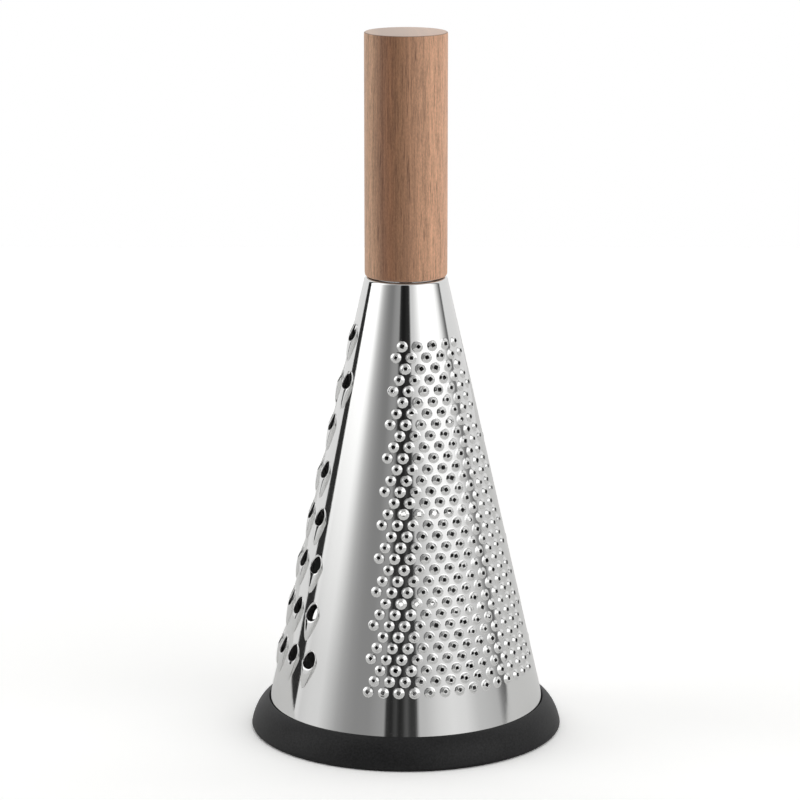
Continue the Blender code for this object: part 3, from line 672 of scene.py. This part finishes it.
# Stainless steel, rolled and buffed: a bright mirror with faint polishing lines down the slope and
# a slight haze that varies with touch. The lines are coarser than real ones, so that they show.
STEEL_COLOUR = "#E6E6E5"
# Greys of the inside, darker than steel's own: painted shade that keeps the holes and hollows dark
DULL_SHADED_DARK = "#8A8A89"
DULL_SHADED_LIGHT = "#A2A2A1"
STEEL_ROUGHNESS = (0.05, 0.075)
DULL_ROUGHNESS = 0.38
LINE_PITCH_MM = 0.35
LINE_LENGTH_MM = 83.3
HAZE_MM = 16.7
BLOTCH_MM = 8.33

steel, tree, shader = new_material("Polished stainless steel")
place = add_node(tree, "ShaderNodeTexCoord").outputs["Object"]
axes = add_node(tree, "ShaderNodeSeparateXYZ", {0: place}).outputs
front = add_node(tree, "ShaderNodeMath", {0: axes["Y"], 1: -1.0}, operation="MULTIPLY").outputs[0]
round_it = add_node(tree, "ShaderNodeMath", {0: axes["X"], 1: front}, operation="ARCTAN2").outputs[0]
unrolled = add_node(tree, "ShaderNodeCombineXYZ", {"X": round_it, "Y": axes["Z"]}).outputs[0]
spread = add_node(tree, "ShaderNodeMapping", {"Vector": unrolled, "Scale": (
    FOOT_RADIUS * MM_IN_METRE / LINE_PITCH_MM, MM_IN_METRE / LINE_LENGTH_MM, 1.0)}).outputs[0]
lines = add_node(tree, "ShaderNodeTexNoise", {"Vector": spread, "Scale": 1.0, "Detail": 3.0,
                                              "Roughness": 0.6}, noise_dimensions="2D").outputs["Fac"]
haze = add_node(tree, "ShaderNodeTexNoise", {"Vector": place, "Scale": MM_IN_METRE / HAZE_MM,
                                             "Detail": 4.0}).outputs["Fac"]
gloss = add_node(tree, "ShaderNodeMapRange", {
    "Value": haze, "From Min": 0.3, "From Max": 0.7, "To Min": STEEL_ROUGHNESS[0],
    "To Max": STEEL_ROUGHNESS[1]}).outputs[0]
buffed = add_node(tree, "ShaderNodeBump", {"Height": lines, "Strength": 0.10, "Distance": 0.00002})
tree.links.new(gloss, shader.inputs["Roughness"])
tree.links.new(buffed.outputs[0], shader.inputs["Normal"])
shader.inputs["Base Color"].default_value = linear(STEEL_COLOUR)
shader.inputs["Metallic"].default_value = 1.0

# Stainless steel inside: the sheet's dull side, as it comes from the mill, darkened with painted shade
dull_shaded_steel, tree, shader = new_material("Dull stainless steel with painted shade")
place = add_node(tree, "ShaderNodeTexCoord").outputs["Object"]
blotches = add_node(tree, "ShaderNodeTexNoise", {"Vector": place, "Scale": MM_IN_METRE / BLOTCH_MM,
                                                 "Detail": 4.0}).outputs["Fac"]
grey = add_ramp(tree, blotches, [(0.3, DULL_SHADED_DARK), (0.7, DULL_SHADED_LIGHT)])
tree.links.new(grey, shader.inputs["Base Color"])
shader.inputs["Metallic"].default_value = 1.0
shader.inputs["Roughness"].default_value = DULL_ROUGHNESS

cone = new_piece("punched_steel_cone", np.concatenate(points), faces, [steel, dull_shaded_steel],
                 np.concatenate(normals), np.concatenate(inside))
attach(cone, "grater")
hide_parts("grater_cone")


# Seam: the sheet's long edges overlap on the back and are spot welded. The outer one ends in a cut
# edge, it bends up over the other in a soft step, and the welding tongs leave a row of round marks.
SEAM_WIDTH = 0.0072
SEAM_STEP = 0.0024
SEAM_LIFT = 0.0005
SEAM_END = 0.0008
WELD_PITCH = 0.0125
WELD_RADIUS = 0.0015
WELD_DEPTH = 0.00025
WELD_PLACE = 0.0009
WELD_RAMP = 0.35
LAP_COLUMNS = 34
LAP_ROWS = 420


def soft_step(share):
    """3 share^2 - 2 share^3 of a share that is kept between 0 and 1: level at both its ends."""
    share = np.clip(share, 0.0, 1.0)
    return share ** 2 * (3 - 2 * share)


def swept_piece(name, rings, material, sharp=40.0):
    """Closed cross-sections carried along a path, (count, sides, 3), with both ends closed.

    Each section runs along one face and back along the other, point against point, so that an end is
    closed by quads between the two.
    """
    count, sides = rings.shape[:2]
    index = np.arange(count * sides).reshape(count, sides)
    quads = np.stack([index[:-1], index[1:], np.roll(index[1:], -1, axis=1),
                      np.roll(index[:-1], -1, axis=1)], axis=-1)
    j = np.arange(sides // 2 - 1)
    cap = np.stack([j, j + 1, sides - 2 - j, sides - 1 - j], axis=-1)
    piece = new_piece(name, rings.reshape(-1, 3),
                      [quads.reshape(-1, 4), index[0][cap], index[-1][cap[:, ::-1]]], [material])
    piece.data.shade_smooth()
    piece.data.set_sharp_from_angle(angle=math.radians(sharp))
    return piece


# The outer edge comes twice, the second time down inside the sheet, so that it is cut square
across = np.concatenate([np.linspace(-1.0, 1.0, LAP_COLUMNS), [1.0]]) * SEAM_WIDTH / 2
lap_start = shoulder_cut + SEAM_END
lap_end = (cone_high.z - ring_high.z - SEAM_END) / math.cos(lean)
along = np.linspace(lap_start, lap_end, LAP_ROWS)[:, None]
lift = SEAM_LIFT * soft_step((across + SEAM_WIDTH / 2) / SEAM_STEP) * np.ones_like(along)
from_weld = (along - lap_start + WELD_PITCH / 2) % WELD_PITCH - WELD_PITCH / 2
inside_mark = WELD_RADIUS - np.hypot(across - WELD_PLACE, from_weld)
lift -= WELD_DEPTH * soft_step(inside_mark / (WELD_RADIUS * WELD_RAMP))
lift[:, -1] = -SHEET / 3
azimuth = math.radians(SEAM_AZIMUTH) + across / slope_radius(along)
top_face = rolled(azimuth, along, lift)
under_face = rolled(azimuth, along, -SHEET / 2 + 0.0 * lift)[:, ::-1]
lap = swept_piece("welded_seam_lap", np.concatenate([top_face, under_face], axis=1), steel)
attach(lap, "grater")


# Top plate: a shallow cup pressed from stainless sheet, its skirt welded inside the cone's neck under
# the flange. The handle's screw pulls up against it.
PLATE_THICKNESS = 0.0010
PLATE_TURNS = 96
SCREW_RADIUS = 0.0025

plate_low, plate_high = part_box("top_plate")
screw_hole = SCREW_RADIUS + GAP
skirt_gap = (SHEET + GAP) / math.cos(lean)
skirt_top = cone_radius_at(plate_high.z) - skirt_gap
skirt_foot = cone_radius_at(plate_low.z) - skirt_gap
cup = rounded([
    (screw_hole, plate_high.z, 0.0),
    (skirt_top, plate_high.z, SHOULDER),
    (skirt_foot, plate_low.z, PLATE_THICKNESS / 4),
    (skirt_foot - PLATE_THICKNESS, plate_low.z, PLATE_THICKNESS / 4),
    (skirt_top - PLATE_THICKNESS, plate_high.z - PLATE_THICKNESS, SHOULDER / 2),
    (screw_hole, plate_high.z - PLATE_THICKNESS, 0.0),
])
# Its steel is the inside's dull steel, darkened with painted shade
top_plate = turned_piece("pressed_top_plate", cup, PLATE_TURNS, dull_shaded_steel)
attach(top_plate, "grater")
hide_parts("top_plate")


# Handle: a straight stick of brown hardwood, turned and oiled, with an eased top edge and a rounder
# foot. A bush is pressed into a bore in its foot. The grain runs along it, and its ends are bare.
HANDLE_TOP_EDGE = 0.0006
HANDLE_FOOT_EDGE = 0.0014
HANDLE_TURNS = 160
BORE_RELIEF = 0.0020
WOOD_PORE = "#5B3E2E"
# Pale colour of the ends: end grain, and painted light on the top end
WOOD_END_AND_LIGHT = "#E0CFC3"
# The pith lies about 60 mm left of the stick. The bands are set by how far from it the wood is.
PITH = (0.060, 0.005, 0.0)
# Bands by distance from the pith: growth rings, with painted light on the sides and painted shade on
# the front
WOOD_BANDS_AND_SHADE = [(0.00, "#D6AC8D"), (0.17, "#D0A585"), (0.30, "#966B50"), (0.40, "#9A6C4E"),
              (0.50, "#9E7355"), (0.62, "#B18466"), (0.75, "#CE9D7C"), (1.00, "#DFAD8C")]
WOOD_ROUGHNESS = (0.42, 0.60)
END_SHARE = 0.30
# Painted shade on the eased top edge, as (upward part of the normal, brightness)
EDGE_PAINTED_SHADE = [(0.10, 1.0), (0.30, 1.0), (0.60, 0.60), (0.90, 0.50), (0.985, 1.0)]
BANDS_START = 0.045
BANDS_END = 0.075
WANDER_MM = (16.7, 16.7, 111.0)
WANDER_REACH = 0.0035
RING_WIDTH_MM = 2.6
RING_STRETCH = 0.03
FIBRE_MM = 0.667
FIBRE_STRETCH = 0.035
PORE_MM = 0.435
PORE_STRETCH = 0.05
SPECKLE_MM = 0.417
SPECKLE_STRETCH = 0.35

handle_low, handle_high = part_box("handle")
insert_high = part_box("threaded_insert")[1]
screw_low, screw_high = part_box("handle_screw")

# Oiled hardwood, long grain: growth rings cut lengthwise into soft brown bands, darker fibres
# between them, and short open pores that run with the grain. The bands also hold painted light on
# the sides and painted shade on the front. The turned top edge is darker than the rest, as painted
# shade.
# Fibres and pores are wider than real ones, so that they show.
wood, tree, shader = new_material("Oiled brown hardwood")
place = add_node(tree, "ShaderNodeTexCoord").outputs["Object"]
drift = add_node(tree, "ShaderNodeMapping", {
    "Vector": place, "Scale": [MM_IN_METRE / size for size in WANDER_MM]}).outputs[0]
wander = add_node(tree, "ShaderNodeTexNoise", {"Vector": drift, "Scale": 1.0, "Detail": 2.0})
moved = add_node(tree, "ShaderNodeVectorMath", {0: wander.outputs["Color"], "Scale": WANDER_REACH},
                 operation="SCALE").outputs[0]
bent = add_node(tree, "ShaderNodeVectorMath", {0: place, 1: moved}, operation="ADD").outputs[0]
centred = add_node(tree, "ShaderNodeMapping", {"Vector": bent, "Location": PITH,
                                               "Scale": (1.0, 1.0, RING_STRETCH)}).outputs[0]
radius = add_node(tree, "ShaderNodeVectorMath", {0: centred}, operation="LENGTH").outputs["Value"]
# The broad bands: growth rings, with painted light at the sides and painted shade on the front
broad_bands_and_shade = add_node(tree, "ShaderNodeMapRange", {"Value": radius, "From Min": BANDS_START,
                                              "From Max": BANDS_END}).outputs[0]
broad_bands_and_shade = add_ramp(tree, broad_bands_and_shade, WOOD_BANDS_AND_SHADE)
ring_turns = add_node(tree, "ShaderNodeMath", {0: radius, 1: MM_IN_METRE / RING_WIDTH_MM},
                      operation="MULTIPLY").outputs[0]
rings = add_node(tree, "ShaderNodeTexNoise", {"W": ring_turns, "Scale": 1.0, "Detail": 4.0,
                                              "Roughness": 0.6}, noise_dimensions="1D").outputs["Fac"]
long_grain, short_grain, dotted = (
    add_node(tree, "ShaderNodeMapping", {"Vector": place, "Scale": (1.0, 1.0, stretch)}).outputs[0]
    for stretch in (FIBRE_STRETCH, PORE_STRETCH, SPECKLE_STRETCH))
fibres = add_node(tree, "ShaderNodeTexNoise", {"Vector": long_grain, "Scale": MM_IN_METRE / FIBRE_MM,
                                               "Detail": 4.0, "Roughness": 0.75}).outputs["Fac"]
pits = add_node(tree, "ShaderNodeTexNoise", {"Vector": short_grain, "Scale": MM_IN_METRE / PORE_MM,
                                             "Detail": 1.0}).outputs["Fac"]
pores = add_node(tree, "ShaderNodeMapRange", {"Value": pits, "From Min": 0.60, "From Max": 0.74,
                                              "To Max": 0.6}).outputs[0]
speckle = add_node(tree, "ShaderNodeTexNoise", {"Vector": dotted, "Scale": MM_IN_METRE / SPECKLE_MM,
                                                "Detail": 2.0, "Roughness": 0.6}).outputs["Fac"]
tone = add_node(tree, "ShaderNodeMath", {0: rings, 1: 0.4, 2: fibres},
                operation="MULTIPLY_ADD").outputs[0]
tone = add_node(tree, "ShaderNodeMath", {0: speckle, 1: 0.6, 2: tone},
                operation="MULTIPLY_ADD").outputs[0]
tone = add_node(tree, "ShaderNodeMapRange", {"Value": tone, "From Min": 0.78, "From Max": 1.22,
                                             "To Min": 0.76, "To Max": 1.42}).outputs[0]
banded_colour_and_shade = add_node(tree, "ShaderNodeVectorMath", {0: broad_bands_and_shade, "Scale": tone}, operation="SCALE").outputs[0]
pored = add_node(tree, "ShaderNodeMix", {"Factor": pores, 6: banded_colour_and_shade, 7: linear(WOOD_PORE)},
                 data_type="RGBA").outputs[2]
# The two ends face up and down, and there the wood is cut across its grain. Their pale colour is
# partly the end grain's own and partly painted light on the top
facing = add_node(tree, "ShaderNodeNewGeometry").outputs["Normal"]
facing = add_node(tree, "ShaderNodeSeparateXYZ", {0: facing}).outputs["Z"]
cut = add_node(tree, "ShaderNodeMath", {0: facing}, operation="ABSOLUTE").outputs[0]
cut = add_node(tree, "ShaderNodeMapRange", {"Value": cut, "From Min": 0.6,
                                            "From Max": 0.95}).outputs[0]
lit_end_grain = add_node(tree, "ShaderNodeMix", {"Factor": END_SHARE, 6: linear(WOOD_END_AND_LIGHT), 7: pored},
                     data_type="RGBA").outputs[2]
colour = add_node(tree, "ShaderNodeMix", {"Factor": cut, 6: pored, 7: lit_end_grain},
                  data_type="RGBA").outputs[2]
# Painted shade: the eased top edge is darkened by which way it faces
painted_edge_shade = add_ramp(tree, facing, EDGE_PAINTED_SHADE)
colour = add_node(tree, "ShaderNodeVectorMath", {0: colour, 1: painted_edge_shade}, operation="MULTIPLY").outputs[0]
relief = add_node(tree, "ShaderNodeMath", {0: pores, 1: -0.7, 2: fibres},
                  operation="MULTIPLY_ADD").outputs[0]
surface = add_node(tree, "ShaderNodeBump", {"Height": relief, "Strength": 0.5, "Distance": 0.00008})
sheen = add_node(tree, "ShaderNodeMapRange", {"Value": fibres, "To Min": WOOD_ROUGHNESS[0],
                                              "To Max": WOOD_ROUGHNESS[1]}).outputs[0]
tree.links.new(colour, shader.inputs["Base Color"])
tree.links.new(sheen, shader.inputs["Roughness"])
tree.links.new(surface.outputs[0], shader.inputs["Normal"])
shader.inputs["IOR"].default_value = 1.50

bore_radius = insert_high.x + GAP
bore_top = max(screw_high.z, insert_high.z) + BORE_RELIEF
stick = rounded([
    (0.0, handle_high.z, 0.0),
    (handle_high.x, handle_high.z, HANDLE_TOP_EDGE),
    (handle_high.x, handle_low.z, HANDLE_FOOT_EDGE),
    (bore_radius, handle_low.z, 0.0),
    (bore_radius, bore_top, 0.0),
    (0.0, bore_top, 0.0),
])
handle = turned_piece("turned_wood_handle", stick, HANDLE_TURNS, wood)
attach(handle, "grater")
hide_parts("handle")


# Threaded bush: a barbed sleeve of machined brass, cut on a lathe and pressed into the handle's bore,
# which hides it. The screw turns into it from below.
BRASS_COLOUR = "#C8A662"
BRASS_ROUGHNESS = 0.28
TURNING_PITCH_MM = 0.12

# Brass, cut on a lathe: warm yellow and shiny, with fine turning marks round it
brass, tree, shader = new_material("Machined brass")
place = add_node(tree, "ShaderNodeTexCoord").outputs["Object"]
height = add_node(tree, "ShaderNodeSeparateXYZ", {0: place}).outputs["Z"]
passes = add_node(tree, "ShaderNodeMath", {0: height, 1: MM_IN_METRE / TURNING_PITCH_MM},
                  operation="MULTIPLY").outputs[0]
marks = add_node(tree, "ShaderNodeTexNoise", {"W": passes, "Scale": 1.0},
                 noise_dimensions="1D").outputs["Fac"]
cut_marks = add_node(tree, "ShaderNodeBump", {"Height": marks, "Strength": 0.3, "Distance": 0.00002})
tree.links.new(cut_marks.outputs[0], shader.inputs["Normal"])
shader.inputs["Base Color"].default_value = linear(BRASS_COLOUR)
shader.inputs["Metallic"].default_value = 1.0
shader.inputs["Roughness"].default_value = BRASS_ROUGHNESS


def dress(node, material):
    """Give a CAD node whose shape is right its material."""
    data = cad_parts[node].data
    data.materials.clear()
    data.materials.append(material)


dress("threaded_insert", brass)


# Screw and washers: a zinc plated machine screw with a pan head and a hexagon socket, a spring washer
# and a flat washer, put in from inside the cone. They are seen only from underneath.
SCREW_HEAD_HEIGHT = 0.0032
SCREW_HEAD_EDGE = 0.0013
SCREW_TURNS = 72
SCREW_CHAMFER = 0.0005
THREAD_PITCH = 0.0008
THREAD_DEPTH = 0.00042
THREAD_STEP = 0.0001
THREAD_FLANK = 1.25
THREAD_CREST = 0.1
SOCKET_RADIUS = 0.0017
SOCKET_DEPTH = 0.0018
WASHER_EDGE = 0.0002
ZINC_DARK = "#A9ACB0"
ZINC_LIGHT = "#C6C9CC"
ZINC_ROUGHNESS = (0.26, 0.42)
CRYSTAL_MM = 0.556

# Zinc plate, bright passivated: a cool grey with fine crystals, duller than the stainless steel. The
# crystals are coarser than real ones, so that they show.
zinc, tree, shader = new_material("Zinc plated steel")
place = add_node(tree, "ShaderNodeTexCoord").outputs["Object"]
crystals = add_node(tree, "ShaderNodeTexNoise", {"Vector": place, "Scale": MM_IN_METRE / CRYSTAL_MM,
                                                 "Detail": 3.0}).outputs["Fac"]
plated = add_ramp(tree, crystals, [(0.35, ZINC_DARK), (0.65, ZINC_LIGHT)])
satin = add_node(tree, "ShaderNodeMapRange", {"Value": crystals, "To Min": ZINC_ROUGHNESS[0],
                                              "To Max": ZINC_ROUGHNESS[1]}).outputs[0]
tree.links.new(plated, shader.inputs["Base Color"])
tree.links.new(satin, shader.inputs["Roughness"])
shader.inputs["Metallic"].default_value = 1.0

head_top = screw_low.z + SCREW_HEAD_HEIGHT
thread = np.arange(screw_high.z - SCREW_CHAMFER, head_top + THREAD_PITCH / 2, -THREAD_STEP)
shank = np.stack([np.full(len(thread), SCREW_RADIUS), thread], axis=1)
head = rounded([
    (SCREW_RADIUS, head_top, 0.0),
    (screw_high.x, head_top, WASHER_EDGE),
    (screw_high.x, screw_low.z, SCREW_HEAD_EDGE),
    (SOCKET_RADIUS + WASHER_EDGE, screw_low.z, 0.0),
])
socket = [(SOCKET_RADIUS, screw_low.z + WASHER_EDGE), (SOCKET_RADIUS, screw_low.z + SOCKET_DEPTH)]
screw_tip = [(0.0, screw_high.z), (SCREW_RADIUS - SCREW_CHAMFER, screw_high.z)]
outline = np.concatenate([screw_tip, shank, head, socket, [(0.0, screw_low.z + SOCKET_DEPTH)]])
# The thread is a triangle wave of height and azimuth, flat on its crest and in its root, and the
# socket's wall keeps to a hexagon
azimuth = np.linspace(0.0, math.tau, SCREW_TURNS, endpoint=False)
swell = np.zeros((len(outline) - 2, SCREW_TURNS))
wave = np.abs((thread[:, None] / THREAD_PITCH + azimuth / math.tau) % 1.0 * 2 - 1)
swell[1:1 + len(thread)] = -THREAD_DEPTH * np.clip(THREAD_FLANK * wave - THREAD_CREST, 0.0, 1.0)
sector = math.tau / 6
flats = math.cos(sector / 2) / np.cos(azimuth % sector - sector / 2)
swell[-2:] = SOCKET_RADIUS * (flats - 1)
screw = turned_piece("pan_head_screw", outline, SCREW_TURNS, zinc, swell=swell)
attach(screw, "grater")
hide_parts("handle_screw")

washer_low, washer_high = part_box("flat_washer")
washer = turned_piece("flat_steel_washer", rounded([
    (screw_hole, washer_high.z, 0.0),
    (washer_high.x, washer_high.z, WASHER_EDGE),
    (washer_high.x, washer_low.z, WASHER_EDGE),
    (screw_hole, washer_low.z, 0.0),
]), SCREW_TURNS, zinc)
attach(washer, "grater")
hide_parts("flat_washer")

dress("lock_washer", zinc)
